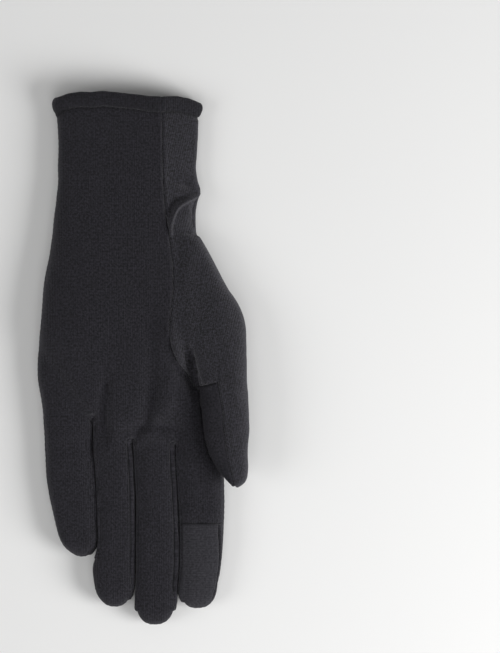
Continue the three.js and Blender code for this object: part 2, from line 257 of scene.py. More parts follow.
def slitRoom(line, y):
    # half the slit beside a neighbour, and a little fullness past the neighbour's tip
    tips = {2: fingers["little"]["tip"], 3: fingers["ring"]["tip"], 4: fingers["index"]["tip"]}
    if line not in tips:
        return 0.0
    return float(np.interp(y - lengthAt(tips[line]), [-5, 2], [-0.3, glove["slitGap"] / 2]))


def fingerRings(finger, step=2.2, count=64):
    startY, tipY = lengthAt(finger["start"]), lengthAt(finger["tip"])
    roundY = lengthAt(finger["tip"] - finger["round"])
    stations = [(y, 0.0) for y in np.linspace(startY, roundY, int((startY - roundY) / step))]
    turns = np.linspace(0, 1.5, 12)[1:]
    stations += [(roundY + (tipY - roundY) * math.sin(t), math.sin(t)) for t in turns]
    rings = []
    for y, part in stations:
        edges = [slitRoom(finger["line"], y), slitRoom(finger["line"] + 1, y)]
        left = float(slitAt(finger["line"], y)) + edges[0]
        right = float(slitAt(finger["line"] + 1, y)) - edges[1]
        middle = (left + right) / 2
        centre = middle + (finger["across"] * glove["palmWidth"] - middle) * part * part
        squeeze = max(0.0, 1 - part**2.25) ** (1 / 2.25)
        half = (right - left) / 2 * squeeze
        run = min(1.0, (y - startY) / (roundY - startY))
        height = glove["fingerHeight"] * (finger["root"] + (finger["end"] - finger["root"]) * run)
        seam = glove["seamLevel"]
        rings.append(sectionRing(makeRow(
            y, centre - half, centre + half, seam - seam * squeeze, seam, seam + (height - seam) * squeeze,
            upper=2.7, upperLeft=3.4, underThumb=finger["line"] == 4), count))
    return rings


def thumbRings(step=2.0, count=72):
    start, end = lengthAt(thumbRows[0, 0]), lengthAt(thumbRows[-1, 0])
    tipYs = np.linspace(thumb["tipFrom"] - 0.1, end, thumb["tipRings"])
    ys = np.append(np.arange(start, thumb["tipFrom"], -step), tipYs)
    rings = []
    for y in ys:
        inner, outer, low, high = (float(v) for v in thumbSection(y))
        rings.append(sectionRing(makeRow(
            y, inner, outer, low, (low + high) / 2, high, sag=0,
            upper=thumb["upper"], upperLeft=thumb["upperLeft"], lower=thumb["lower"]), count))
    return rings


def meshFrom(bm, name):
    mesh = bpy.data.meshes.new(name)
    bm.to_mesh(mesh)
    bm.free()
    return mesh


smoothing = {"allOver": 10, "joins": 45}


def makeSkin():
    # hand, fingers and thumb become one skin
    bm = bmesh.new()
    loftTube(bm, bodyRings())
    for finger in fingers.values():
        loftTube(bm, fingerRings(finger))
    loftTube(bm, thumbRings())
    bmesh.ops.recalc_face_normals(bm, faces=bm.faces)
    holder = bpy.data.objects.new("handForm", meshFrom(bm, "handForm"))
    bpy.context.scene.collection.objects.link(holder)
    remesh = holder.modifiers.new("skin", "REMESH")
    remesh.mode = "VOXEL"
    remesh.voxel_size = glove["voxel"]
    remesh.adaptivity = 0
    solid = bpy.data.meshes.new_from_object(holder.evaluated_get(bpy.context.evaluated_depsgraph_get()))
    bpy.data.objects.remove(holder)
    skin = bmesh.new()
    skin.from_mesh(solid)
    verts = skin.verts[:]
    relax(skin, verts, smoothing["allOver"])
    # the joins of thumb and fingers with the palm are eased further, away from the slits
    skin.normal_update()
    eased = [v for v in verts if v.normal.z > 0.15 and v.co.z > 8 and -75 < v.co.y < 66 and awayFromSlits(v.co)]
    relax(skin, eased, smoothing["joins"])
    return skin


def awayFromSlits(point):
    if point.y > -8:
        return True
    if point.x > 21 and -64 < point.y < -10:
        return False
    return min(abs(point.x - glove["palmWidth"] * np.interp(shareAt(point.y), fingerLines[:, 0], fingerLines[:, c]))
               for c in (2, 3, 4)) > 2.6


# Seams in plan, from the cuff down: across, then along, in millimetres
seams = {
    "palm": [(8.7, 140), (8.9, 119), (9.3, 99), (9.8, 80), (11.3, 65), (12.9, 54), (14.2, 42), (13.9, 27),
             (12.9, 17), (12.7, 10.5), (13.7, 3.3), (16.6, -2.8), (20.9, -7.7), (24.7, -14.4), (37.7, -18.7),
             (50, -19.9)],
    "back": [(17.5, 140), (17.5, 118), (18, 100), (18, 80), (18.5, 65), (22, 51), (26.5, 36), (30.5, 15),
             (32.5, -8), (34.5, -16), (50, -18)],
    "thumbLong": [(35.9, -6), (35.7, -10.9), (37.7, -23.5), (38.7, -35), (39.7, -45.1), (41.8, -53.8), (43.4, -60),
                  (44.5, -66)],
    "thumbCross": [(18, -16.5), (26.3, -14.2), (35.4, -11.9), (48, -8.6)],
    "patchRight": [(36.2, -70), (36.1, -82), (36.5, -97.4), (34.5, -111.8), (32.3, -119.5), (31, -124)],
}
patchStart = -79.7
# Gussets: where each ends and how far it reaches either way, on the palm and on the back
gussets = {
    "gussetRingLittle": {
        "line": 2, "tips": (0.8699, 0.9682), "palm": (-27.8, 1.3, 1.3), "back": (-31.2, 4, 2), "fuller": 2.0},
    "gussetMiddleRing": {
        "line": 3, "tips": (0.9682, 1.0), "palm": (-38.9, 2.7, 1.4), "back": (-45, 6, 2), "fuller": 1.0},
    "gussetIndexMiddle": {
        "line": 4, "tips": (1.0, 0.9682), "palm": (-40.8, 2.7, 1.4), "back": (-47.5, 8, 2), "fuller": 1.2},
}


def smoothPath(points, step=1.0):
    points = np.array(points, float)
    run = np.append(0, np.cumsum(np.hypot(*np.diff(points, axis=0).T)))
    at = np.append(np.arange(0, run[-1], step), run[-1])
    return np.stack([curveThrough(run, points[:, 0], at), curveThrough(run, points[:, 1], at)], axis=1)


def seamOffset(path, x, y):
    # distance to a seam in plan, positive on its thumb side
    best, signed = np.full(x.shape, 1e9), np.zeros(x.shape)
    for (ax, ay), (bx, by) in zip(path, path[1:]):
        dx, dy = bx - ax, by - ay
        t = np.clip(((x - ax) * dx + (y - ay) * dy) / (dx * dx + dy * dy), 0, 1)
        away = np.hypot(x - ax - dx * t, y - ay - dy * t)
        side = np.sign(dx * (y - ay) - dy * (x - ax))
        signed = np.where(away < best, away * side, signed)
        best = np.minimum(best, away)
    return signed


seamPaths = {name: smoothPath(points, 2.5) for name, points in seams.items()}


def thumbField(x, y, z):
    # positive on the free thumb, negative on the hand below it
    inner, outer, low, high = thumbSection(y)
    middle, half = (low + high) / 2, (high - low) / 2
    u = np.abs(x - (inner + outer) / 2) / ((outer - inner) / 2 + 1)
    w = np.abs(z - middle) / (half + 1)
    inside = 6 * (1 - (u**2.4 + w**2.4) ** (1 / 2.4))
    return np.where((y < -9) & (y > -66), inside, -5)


def sideField(x, y, z):
    top = seamOffset(seamPaths["palm"], x, y)
    bottom = seamOffset(seamPaths["back"], x, y)
    return np.where(z > glove["seamLevel"], top, bottom)


def touchThumbField(x, y, z):
    long = -seamOffset(seamPaths["thumbLong"], x, y)
    cross = -seamOffset(seamPaths["thumbCross"][::-1], x, y)
    inner = thumbSection(y)[0]
    field = np.minimum(np.minimum(long, -cross), np.minimum(z - 14, x - inner + 0.6))
    return np.where(y < -8, np.minimum(field, thumbField(x, y, z) + 3), -5)


def gussetField(gusset):
    def field(x, y, z):
        slit = slitAt(gusset["line"], y)
        values = []
        for end, ulnar, radial in (gusset["palm"], gusset["back"]):
            taper = [np.clip((y - lengthAt(tip)) / 18, 0.2, 1) for tip in gusset["tips"]]
            ulnarEdge, radialEdge = ulnar * taper[0], radial * taper[1]
            half = (ulnarEdge + radialEdge) / 2
            centre = slit + (radialEdge - ulnarEdge) / 2
            strip = half - np.abs(x - centre)
            crown = half - np.hypot(x - centre, y - (end - half))
            values.append(np.where(y > end - half, crown, strip))
        return np.where(z > glove["seamLevel"], values[0], values[1])
    return field


def patchField(x, y, z):
    right = -seamOffset(seamPaths["patchRight"], x, y)
    field = np.minimum(np.minimum(patchStart - y, right), z - glove["seamLevel"])
    return np.where(x > slitAt(4, y), field, -5)


def palmField(x, y, z):
    pastPatch = (y < patchStart) & (x > slitAt(4, y) + 3)
    return np.where(pastPatch, -1, z - glove["seamLevel"])


panelFields = {
    "thumbTouchKnit": touchThumbField,
    "thumbKnit": lambda x, y, z: np.maximum(thumbField(x, y, z), sideField(x, y, z)),
    **{name: gussetField(gusset) for name, gusset in gussets.items()},
    "indexTouchKnit": patchField,
    "palmKnit": palmField,
    "backKnit": lambda x, y, z: np.ones_like(x),
}
panelNames = list(panelFields)

# Folds on the palm side: path, half width, depth (negative rises), half width to the right of the path
folds = [
    ([(27.2, 78.2), (21.3, 75.4), (15.9, 71.6), (13.8, 67.4), (12.8, 63.2), (12.8, 58.5)], 1.15, -2.8),
    ([(20.5, 72.0), (23.2, 69.0), (24.4, 65.5), (23.8, 60.0)], 1.3, -0.5),
    ([(24.0, 79.6), (18.2, 76.8), (13.9, 73.4), (12.0, 69.0)], 1.3, 0.9, 3.6),
    ([(20.0, 69.5), (20.5, 65.5), (19.5, 61.5)], 2.4, 0.2),
    ([(10.5, 84.4), (17.0, 84.2), (23.0, 82.4)], 3.6, 1.7, 1.6),
    ([(27.5, 76.0), (26.0, 70.0), (25.5, 62.0)], 3.2, 2.2),
    ([(19.0, 58.0), (19.5, 45.0), (20.0, 30.0), (21.0, 12.0)], 4.2, -1.3),
    ([(14.6, 59.8), (22.5, 59.6)], 0.9, 0.5),
    ([(-16.0, 59.6), (3.0, 59.2)], 1.0, 0.2),
    ([(-12.0, 66.0), (-1.0, 65.4)], 1.2, 0.15),
    ([(22.6, 3.4), (23.2, -3.0), (24.2, -9.0), (27.0, -17.0)], 2.1, 3.8, 3.6),
    ([(35.9, -3.5), (35.8, -11.0)], 0.7, 0.6),
    ([(15.0, -79.5), (28.0, -79.7), (40.0, -79.5)], 2.6, 0.9, 0.6),
    ([(-3.4, -40.0), (-2.2, -35.2), (1.5, -33.4), (6.5, -33.6), (12.0, -34.2), (15.6, -35.6), (16.6, -41.0)],
     4.0, 1.7, 1.5),
    ([(-38.0, -21.8), (-32.3, -26.8), (-26.0, -29.0)], 1.4, 0.8),
    ([(-18.8, -12.5), (-15.8, -18.0)], 1.6, 0.6),
    ([(3.6, 13.0), (4.0, 6.0), (3.2, -4.0), (2.4, -12.0)], 3.4, 0.8),
    ([(12.5, 20.0), (13.5, 8.0), (16.5, -1.0), (20.5, -8.5)], 8.0, -3.0, 6.5),
    ([(12.0, 12.0), (12.4, 5.0), (14.5, -1.0)], 3.6, -0.8),
    ([(6.5, -10.0), (5.0, -19.0), (3.2, -26.0), (0.5, -33.0)], 2.3, 2.4, 5.0),
    ([(11.8, -7.0), (11.0, -16.0), (10.4, -26.0)], 5.0, -2.0, 5.6),
    ([(-12.0, -16.0), (-12.0, -28.0), (-12.6, -40.0)], 5.0, -1.3, 4.2),
    ([(-2.0, -40.0), (6.0, -38.2), (14.0, -40.0)], 2.4, -0.8, 3.0),
    ([(11.2, 9.0), (12.0, 3.0), (15.2, -3.8), (19.8, -8.8), (23.4, -13.4)], 1.9, 2.8, 3.0),
    ([(21.0, -15.0), (24.0, -28.0), (27.0, -42.0), (30.0, -52.0)], 4.0, -1.5),
    ([(3.5, -33.0), (3.0, -38.0)], 2.8, -0.7),
    ([(-9.5, -33.0), (-9.0, -40.0)], 2.2, 0.6),
    ([(-17.0, -8.0), (-18.6, -18.0), (-19.4, -26.0), (-19.2, -33.0), (-17.6, -39.5)], 2.4, 2.3, 4.6),
    ([(-37.5, -14.0), (-34.5, -19.0), (-33.0, -27.0)], 3.0, 0.5),
]
backFolds = [
    ([(46.0, 4.0), (39.0, -7.0), (33.5, -15.5)], 1.4, 0.9),
    ([(31.0, 20.0), (32.5, 0.0), (34.0, -14.0)], 1.6, 0.5),
]

# How crumpled the cloth is, along the hand
looseness = ([-125, -60, -20, 15, 50, 120], [0.6, 0.8, 1.1, 0.8, 0.45, 0.40])
drape = {"soft": 0.85, "softSize": (13, 20, 13), "crumple": 0.30, "crumpleSize": (5, 7, 5), "crumpleShift": 40}
crotch = {"reach": 1.15, "rimWidth": 0.75, "rim": -0.28, "pitWidth": 0.65, "pit": 0.9}


def crotchFolds():
    # a raised rim round the top of each gusset, and the dark drop where its slit opens
    entries = []
    for gusset in gussets.values():
        end, ulnar, radial = gusset["palm"]
        half = (ulnar + radial) / 2
        top = end - half
        centre = float(slitAt(gusset["line"], top)) + (radial - ulnar) / 2
        reach = half + crotch["reach"]
        turns = np.radians(np.linspace(180, 0, 9))
        rim = [(centre - reach, top - 7)] + [(centre + reach * math.cos(t), top + reach * math.sin(t)) for t in turns]
        entries.append((rim + [(centre + reach, top - 7)], crotch["rimWidth"], crotch["rim"]))
        slit = float(slitAt(gusset["line"], top))
        entries.append(([(slit, end - 0.9), (slit, top - 3.5)], crotch["pitWidth"], crotch["pit"] * half))
    return entries


def foldHeights(entries, x, y):
    total = np.zeros_like(x)
    for points, width, depth, *other in entries:
        path = smoothPath(points, 1.5)
        wide = np.where(seamOffset(path, x, y) < 0, other[0], width) if other else width
        run = np.linspace(0, 1, len(path))
        best, along = np.full(x.shape, 1e9), np.zeros(x.shape)
        for k in range(len(path) - 1):
            (ax, ay), (bx, by) = path[k], path[k + 1]
            dx, dy = bx - ax, by - ay
            t = np.clip(((x - ax) * dx + (y - ay) * dy) / (dx * dx + dy * dy), 0, 1)
            away = np.hypot(x - ax - dx * t, y - ay - dy * t)
            along = np.where(away < best, run[k] + t / (len(path) - 1), along)
            best = np.minimum(best, away)
        fade = np.sqrt(np.clip(np.sin(np.pi * np.clip(0.06 + 0.88 * along, 0, 1)), 0, 1))
        total += depth * fade * np.exp(-((best / wide) ** 2))
    return total


def clothNoise(co, size, shift=0):
    return np.array([noise.noise(Vector((p[0] / size[0] + shift, p[1] / size[1], p[2] / size[2]))) for p in co])


def shapeSkin(skin):
    # folds, dents and the closing of the slits, moved along each point's normal
    skin.normal_update()
    co = np.array([v.co for v in skin.verts])
    normal = np.array([v.normal for v in skin.verts])
    x, y, z = co.T
    upward = np.clip(normal[:, 2] * 1.6, 0, 1) * (z > glove["seamLevel"])
    move = -foldHeights(folds + crotchFolds(), x, y) * upward
    downward = np.clip(-normal[:, 2] * 1.6, 0, 1) * (z > 0.3)
    move -= foldHeights(backFolds, x, y) * downward
    soft = drape["soft"] * clothNoise(co, drape["softSize"])
    crumple = drape["crumple"] * clothNoise(co, drape["crumpleSize"], drape["crumpleShift"])
    move += (soft + crumple) * np.clip(z / 3, 0, 1) * np.interp(y, *looseness)
    fromHem = hem["sewn"] + cuffShift(x) - y
    dip = hem["dip"] * np.exp(-((np.maximum(fromHem, 0) / hem["dipWidth"]) ** 2))
    gather = hem["gather"] * np.cos(2 * np.pi * x / hem["stitchPitch"]) * np.exp(-((fromHem - 1.2) ** 2))
    move -= (dip + gather) * np.clip(z, 0, 1)
    co += normal * move[:, None]
    nearSlit, filled = np.zeros_like(x), np.zeros_like(x)
    for column, gusset in zip((2, 3, 4), gussets.values()):
        reach = x - slitAt(column, y)
        below = gusset["palm"][0] - y
        inSlit = (np.abs(reach) < 3.2) & (below > 1.5) & (y > lengthAt(min(gusset["tips"])) - 2)
        opened = np.interp(below, [1.5, 3, 6], [0.2, 0.75, 1.0]) * np.clip(np.abs(normal[:, 0]) * 2.4, 0, 1)
        closed = np.minimum(glove["slitClose"] * opened, np.maximum(np.abs(reach) - 0.09, 0))
        nearSlit = np.where(inSlit, -np.sign(reach) * closed, nearSlit)
        shoulder = np.exp(-(((np.abs(reach) - 1.1) / 0.9) ** 2)) * np.clip(normal[:, 2] * 1.5, 0, 1)
        shoulder *= np.interp(below, [1.5, 8], [0, 1])
        filled += np.where(inSlit & (z > glove["seamLevel"]), glove["shoulder"] * gusset["fuller"] * shoulder, 0)
    co[:, 0] += nearSlit
    co[:, 2] += filled
    co[:, 2] = np.maximum(co[:, 2], 0)
    lifted = np.clip((co[:, 1] - 116.5) / 3, 0, 1) * 0.35
    co[:, 2] = np.where(co[:, 2] < 3, co[:, 2] + lifted, co[:, 2])
    placeLoop(skin.verts, co)


def vertArrays(bm):
    return np.array([v.co for v in bm.verts]).T


def cutAlong(bm, field, panel):
    # mesh edges are laid where the field changes sign, among faces not yet given to a panel
    values = field(*vertArrays(bm))
    bm.verts.index_update()
    online, splits = set(), []
    ends = np.array([(e.verts[0].index, e.verts[1].index) for e in bm.edges])
    crossing = np.nonzero((values[ends[:, 0]] > 0) != (values[ends[:, 1]] > 0))[0]
    bm.edges.ensure_lookup_table()
    for k in crossing:
        edge = bm.edges[k]
        if not any(f[panel] == 0 for f in edge.link_faces):
            continue
        a, b = edge.verts
        part = values[a.index] / (values[a.index] - values[b.index])
        if part < 0.17 or part > 0.83:
            near = a if part < 0.5 else b
            if near not in online:
                near.co = a.co.lerp(b.co, part)
            online.add(near)
        else:
            splits.append((edge, a, part))
    for edge, a, part in splits:
        online.add(bmesh.utils.edge_split(edge, a, part)[1])
    bmesh.ops.connect_verts(bm, verts=list(online))


# Cuff hem: a turned band, drawn as a closed profile swept round the wrist
hem = {
    "left": -42.0, "right": 26.4, "high": 14.8,
    "profile": [(120.2, -0.55), (120.5, -0.12), (121.3, 0.45), (122.8, 1.35), (124.4, 2.00), (126.0, 2.15),
                (127.2, 1.6), (127.9, 0.75), (127.9, -0.1), (127.2, -0.75), (125.8, -1.1), (124.0, -1.2), (122.2, -1.2),
                (120.9, -1.35), (120.35, -1.3), (120.15, -0.95)],
    "topFlare": 0.35,
    "points": 300, "pucker": 0.10, "stitchPitch": 2.5, "sewn": 120.3, "tuckedIn": 0.9,
    "dip": 0.45, "dipWidth": 0.8, "gather": 0.08,     # the cloth just below the band
    # shadeFrom and shadeLength: where the band's painted shade starts and how far it ramps
    "wave": 0.30, "groove": -0.35, "shadeFrom": 121.5, "shadeLength": 0.9,
    "dents": [(8.7, -0.20, 0.7), (-10.5, -0.12, 0.6)],     # across, depth and half width: palm seam, band's join
}


def hemRing(place, flare):
    low = max(0.0, -flare)
    row = makeRow(place, hem["left"] - flare, hem["right"] + flare, low, glove["seamLevel"],
                  hem["high"] + flare * (hem["topFlare"] if flare > 0 else 1), skew=cuff["skew"], bow=cuff["bow"],
                  fall=sideSlope[1][-1], ridge=glove["crest"], upperLeft=glove["fullLeft"])
    ring = sectionRing(row, hem["points"])
    cornerFold = np.clip((-36 - ring[:, 0]) / 5, 0, 1) * 2.2 * (127.9 - place) / 8
    ring[:, 1] -= np.interp(ring[:, 0], *cuffDip) + cornerFold
    return ring


def cuffShift(x):
    # the wavy line of the cuff edge
    u = (x - (hem["left"] + hem["right"]) / 2) / ((hem["right"] - hem["left"]) / 2)
    return cuff["bow"] * u * u + cuff["skew"] * u - np.interp(x, *cuffDip)


def cutPanels(skin):
    panel = skin.faces.layers.int.new("panel")
    cuffEdge = lambda x, y, z: hem["sewn"] + hem["tuckedIn"] + cuffShift(x) - y
    cutAlong(skin, cuffEdge, panel)
    trimmed = [f for f in skin.faces if cuffEdge(*f.calc_center_median()) < 0]
    bmesh.ops.delete(skin, geom=trimmed, context="FACES")
    for number, name in enumerate(panelNames, 1):
        if number < len(panelNames):
            cutAlong(skin, panelFields[name], panel)
        openFaces = [f for f in skin.faces if f[panel] == 0]
        centres = np.array([f.calc_center_median() for f in openFaces]).T
        for face, value in zip(openFaces, panelFields[name](*centres)):
            if value > 0:
                face[panel] = number
    return panel


def walkSeams(skin, panel):
    # ordered chains of points along every seam, with their normals
    skin.normal_update()
    border = {e for e in skin.edges if len(e.link_faces) == 2 and e.link_faces[0][panel] != e.link_faces[1][panel]}
    links = {}
    for edge in border:
        for vert in edge.verts:
            links.setdefault(vert, []).append(edge)
    starts = [v for v, edges in links.items() if len(edges) != 2] + list(links)
    starts.sort(key=lambda v: (len(links[v]) == 2, round(v.co.x, 3), round(v.co.y, 3), round(v.co.z, 3)))
    left, chains = set(border), []
    for start in starts:
        for edge in links[start]:
            if edge not in left:
                continue
            chain, vert = [start], start
            while edge is not None:
                left.discard(edge)
                vert = edge.other_vert(vert)
                chain.append(vert)
                edge = next((e for e in links[vert] if e in left), None) if len(links[vert]) == 2 else None
            if len(chain) > 5:
                chains.append(chain)
    return chains


seam = {"valley": 0.56, "valleyWidth": 0.52, "welt": 0.16, "weltPlace": 1.35, "weltWidth": 0.60,
        "gussetShare": 0.26, "pucker": 0.07, "pitch": 2.6, "lineWidth": 0.45}


def sinkSeams(skin, chains):
    # the cloth dips at each seam, swells over the allowance beside it and gathers between stitches
    points = []
    for chain in chains:
        run = 0.0
        for k, vert in enumerate(chain):
            if k:
                run += (vert.co - chain[k - 1].co).length
            atSlit = min(abs(vert.co.x - slitAt(column, vert.co.y)) for column in (2, 3, 4)) < 4 and vert.co.y < -26
            atPatch = abs(vert.co.y - patchStart) < 1 and vert.co.z > glove["seamLevel"]
            points.append((vert.co.copy(), run, seam["gussetShare"] if atSlit or atPatch else 1.0))
    tree = kdtree.KDTree(len(points))
    for k, entry in enumerate(points):
        tree.insert(entry[0], k)
    tree.balance()
    skin.normal_update()
    moves = []
    for vert in skin.verts:
        place, index, away = tree.find(vert.co)
        if away > 3:
            continue
        gather = math.cos(2 * math.pi * points[index][1] / seam["pitch"])
        depth = -seam["valley"] * math.exp(-((away / seam["valleyWidth"]) ** 2))
        depth += seam["welt"] * math.exp(-(((away - seam["weltPlace"]) / seam["weltWidth"]) ** 2))
        depth += seam["pucker"] * gather * math.exp(-(((away - 0.9) / 0.9) ** 2))
        floorFade = min(1.0, vert.co.z / 1.2) * points[index][2]
        moves.append((vert, vert.normal * depth * floorFade))
    for vert, move in moves:
        vert.co += move
        vert.co.z = max(vert.co.z, 0.0)


def clothPlace(co, normal, kind):
    # where a point lies in the flat knit: across and along, unrolled over the rounded edges
    x, y, z = co.T
    nx, ny, nz = normal.T
    if kind == "gusset":
        return z + x * 0.3, y
    up = -nz if kind == "back" else nz
    turn = np.arctan2(nx, up)
    tilt = np.arctan2(-ny, np.hypot(nx, nz))
    across, along = x + 6 * (turn - np.sin(turn)), y - 6 * (tilt - np.sin(tilt))
    if kind == "thumb":
        c, s = math.cos(0.17), math.sin(0.17)
        return across * c + along * s, along * c - across * s
    return across, along


def finishPiece(mesh, name, kind, material):
    # the cloth's own map, then metres
    co, normal = np.empty(len(mesh.vertices) * 3), np.empty(len(mesh.vertices) * 3)
    mesh.vertices.foreach_get("co", co)
    mesh.vertex_normals.foreach_get("vector", normal)
    across, along = clothPlace(co.reshape(-1, 3), normal.reshape(-1, 3), kind)
    layer = mesh.uv_layers.new(name="cloth")
    corners = np.empty(len(mesh.loops), int)
    mesh.loops.foreach_get("vertex_index", corners)
    places = np.stack([across[corners], along[corners]], axis=1) * millimetre
    layer.data.foreach_set("uv", places.astype(np.float32).ravel())
    mesh.transform(Matrix.Scale(millimetre, 4))
    mesh.polygons.foreach_set("use_smooth", np.ones(len(mesh.polygons), bool))
    mesh.materials.append(material)
    piece = bpy.data.objects.new(name, mesh)
    bpy.context.scene.collection.objects.link(piece)
    return piece


def makePanel(skin, number, name, kind, material):
    bm = skin.copy()
    layer = bm.faces.layers.int["panel"]
    bmesh.ops.delete(bm, geom=[f for f in bm.faces if f[layer] != number], context="FACES")
    # a sliver of the edge that faces the wrong way would turn the wall out
    bm.normal_update()
    slivers = [v for v in bm.verts
               if v.is_boundary and all(v.normal.dot(e.other_vert(v).normal) < 0.2 for e in v.link_edges)]
    bmesh.ops.delete(bm, geom=slivers, context="VERTS")
    # painted shade: the knit is darkened along every seam edge and in a line just below the hem band, standing in for
    # the shadow in the seam and under the band
    shade = bm.verts.layers.float.new("seamShade")
    for vert in bm.verts:
        fromHem = hem["sewn"] + float(cuffShift(vert.co.x)) - vert.co.y
        vert[shade] = 1.0 if vert.is_boundary else math.exp(-((fromHem / seam["lineWidth"]) ** 2))
    bmesh.ops.triangulate(bm, faces=[f for f in bm.faces if len(f.verts) > 4])
    bm.normal_update()
    piece = finishPiece(meshFrom(bm, name), name, kind, material)
    wall = piece.modifiers.new("wall", "SOLIDIFY")
    wall.thickness = glove["fabric"] * millimetre
    wall.offset = -1
    return piece


# Knit shading: scales of the noises, then how much each part of the stitch counts
yarn = {
    "driftScale": 260, "fuzzScale": 2600, "heatherScale": 1000, "blotchScale": 160, "fuzz": 0.35,
    "slant": 1.4, "legDepth": 0.28, "ribPower": 0.8, "knitTone": 0.6, "tone": 0.2, "seamShadowStrength": 0.85,
}


def addSocket(group, name, way, kind, default=None):
    socket = group.interface.new_socket(name=name, in_out=way, socket_type=kind)
    if default is not None:
        socket.default_value = default
    return socket


def knitGroup():
    # rows of V-shaped stitches on the cloth's own map, with heathered yarn and painted shade along the seams
    group = bpy.data.node_groups.new("jerseyKnit", "ShaderNodeTree")
    addSocket(group, "Cloth", "INPUT", "NodeSocketVector")
    for name, default in (("Wale", 0.00085), ("Course", 0.00075), ("Waver", 0.25), ("Heather", 0.5)):
        addSocket(group, name, "INPUT", "NodeSocketFloat", default)
    addSocket(group, "Height", "OUTPUT", "NodeSocketFloat")
    addSocket(group, "Shade", "OUTPUT", "NodeSocketFloat")
    nodes, links = group.nodes, group.links
    source, sink = nodes.new("NodeGroupInput"), nodes.new("NodeGroupOutput")

    def maths(operation, first, second=None, third=None, clamp=False):
        node = nodes.new("ShaderNodeMath")
        node.operation, node.use_clamp = operation, clamp
        for slot, value in enumerate((first, second, third)):
            if isinstance(value, (int, float)):
                node.inputs[slot].default_value = value
            elif value is not None:
                links.new(value, node.inputs[slot])
        return node.outputs[0]

    def yarnNoise(scale, detail):
        node = nodes.new("ShaderNodeTexNoise")
        node.inputs["Scale"].default_value = scale
        node.inputs["Detail"].default_value = detail
        links.new(source.outputs["Cloth"], node.inputs["Vector"])
        return node.outputs["Fac"]

    parts = nodes.new("ShaderNodeSeparateXYZ")
    links.new(source.outputs["Cloth"], parts.inputs[0])
    drift = maths("MULTIPLY", maths("SUBTRACT", yarnNoise(yarn["driftScale"], 2), 0.5), source.outputs["Waver"])
    wale = maths("ADD", maths("DIVIDE", parts.outputs["X"], source.outputs["Wale"]), drift)
    course = maths("ADD", maths("DIVIDE", parts.outputs["Y"], source.outputs["Course"]), drift)
    offset = maths("ABSOLUTE", maths("SUBTRACT", maths("FRACT", wale), 0.5))
    rib = maths("COSINE", maths("MULTIPLY", offset, math.pi))
    slanted = maths("ADD", course, maths("MULTIPLY", offset, yarn["slant"]))
    leg = maths("SINE", maths("MULTIPLY", slanted, 2 * math.pi))
    stitch = maths("MULTIPLY_ADD", leg, yarn["legDepth"], 1 - yarn["legDepth"])
    knit = maths("MULTIPLY", maths("POWER", rib, yarn["ribPower"]), stitch)
    fuzz = yarnNoise(yarn["fuzzScale"], 3)
    links.new(maths("MULTIPLY_ADD", fuzz, yarn["fuzz"], knit), sink.inputs["Height"])
    fine = maths("MULTIPLY", yarnNoise(yarn["heatherScale"], 3), 0.9)
    broad = maths("MULTIPLY", yarnNoise(yarn["blotchScale"], 2), 0.1)
    blotch = maths("ADD", fine, broad)
    heather = maths("MULTIPLY", maths("SUBTRACT", blotch, 0.5), source.outputs["Heather"])
    tone = maths("ADD", maths("MULTIPLY", knit, yarn["knitTone"]), heather)
    # painted shade: the seamShade mask darkens the yarn along seams and under the hem band, standing in for shadow
    seamLine = nodes.new("ShaderNodeAttribute")
    seamLine.attribute_name = "seamShade"
    plain = maths("ADD", tone, yarn["tone"], clamp=True)
    paintedSeamShade = maths("MULTIPLY_ADD", seamLine.outputs["Fac"], -yarn["seamShadowStrength"], 1.0)
    links.new(maths("MULTIPLY", plain, paintedSeamShade), sink.inputs["Shade"])
    return group


# Knits: darkest and lightest yarn, stitch width and row height in metres, unevenness, relief and sheen
knitFinishes = {
    "palmJersey": {"dark": (0.0017, 0.0014, 0.0028), "light": (0.0189, 0.0176, 0.0237), "wale": 0.00085,
                   "course": 0.00078, "waver": 0.5, "heather": 3.8, "bump": 0.00022, "sheen": 0.17},
    # the thumb panel's jersey is the palm knit made lighter: painted light for the thumb side that faces the key lamp
    "thumbJerseyPaintedLight": {"dark": (0.0008, 0.0008, 0.0008), "light": (0.0249, 0.0234, 0.0312), "wale": 0.00085,
                    "course": 0.00078, "waver": 0.5, "heather": 3.8, "bump": 0.00022, "sheen": 0.26},
    "hemJersey": {"dark": (0.0014, 0.0012, 0.0024), "light": (0.0140, 0.0131, 0.0180), "wale": 0.00085,
                  "course": 0.00078, "waver": 0.6, "heather": 3.8, "bump": 0.00024, "sheen": 0.17},
    "thumbTouch": {"dark": (0.0028, 0.0027, 0.0039), "light": (0.0231, 0.0218, 0.0280), "wale": 0.00070,
                   "course": 0.00064, "waver": 0.3, "heather": 2.2, "bump": 0.00014, "sheen": 0.02},
    "indexTouch": {"dark": (0.0071, 0.0068, 0.0089), "light": (0.0386, 0.0373, 0.0446), "wale": 0.00062,
                   "course": 0.00110, "waver": 0.25, "heather": 2.0, "bump": 0.00013, "sheen": 0.12},
}


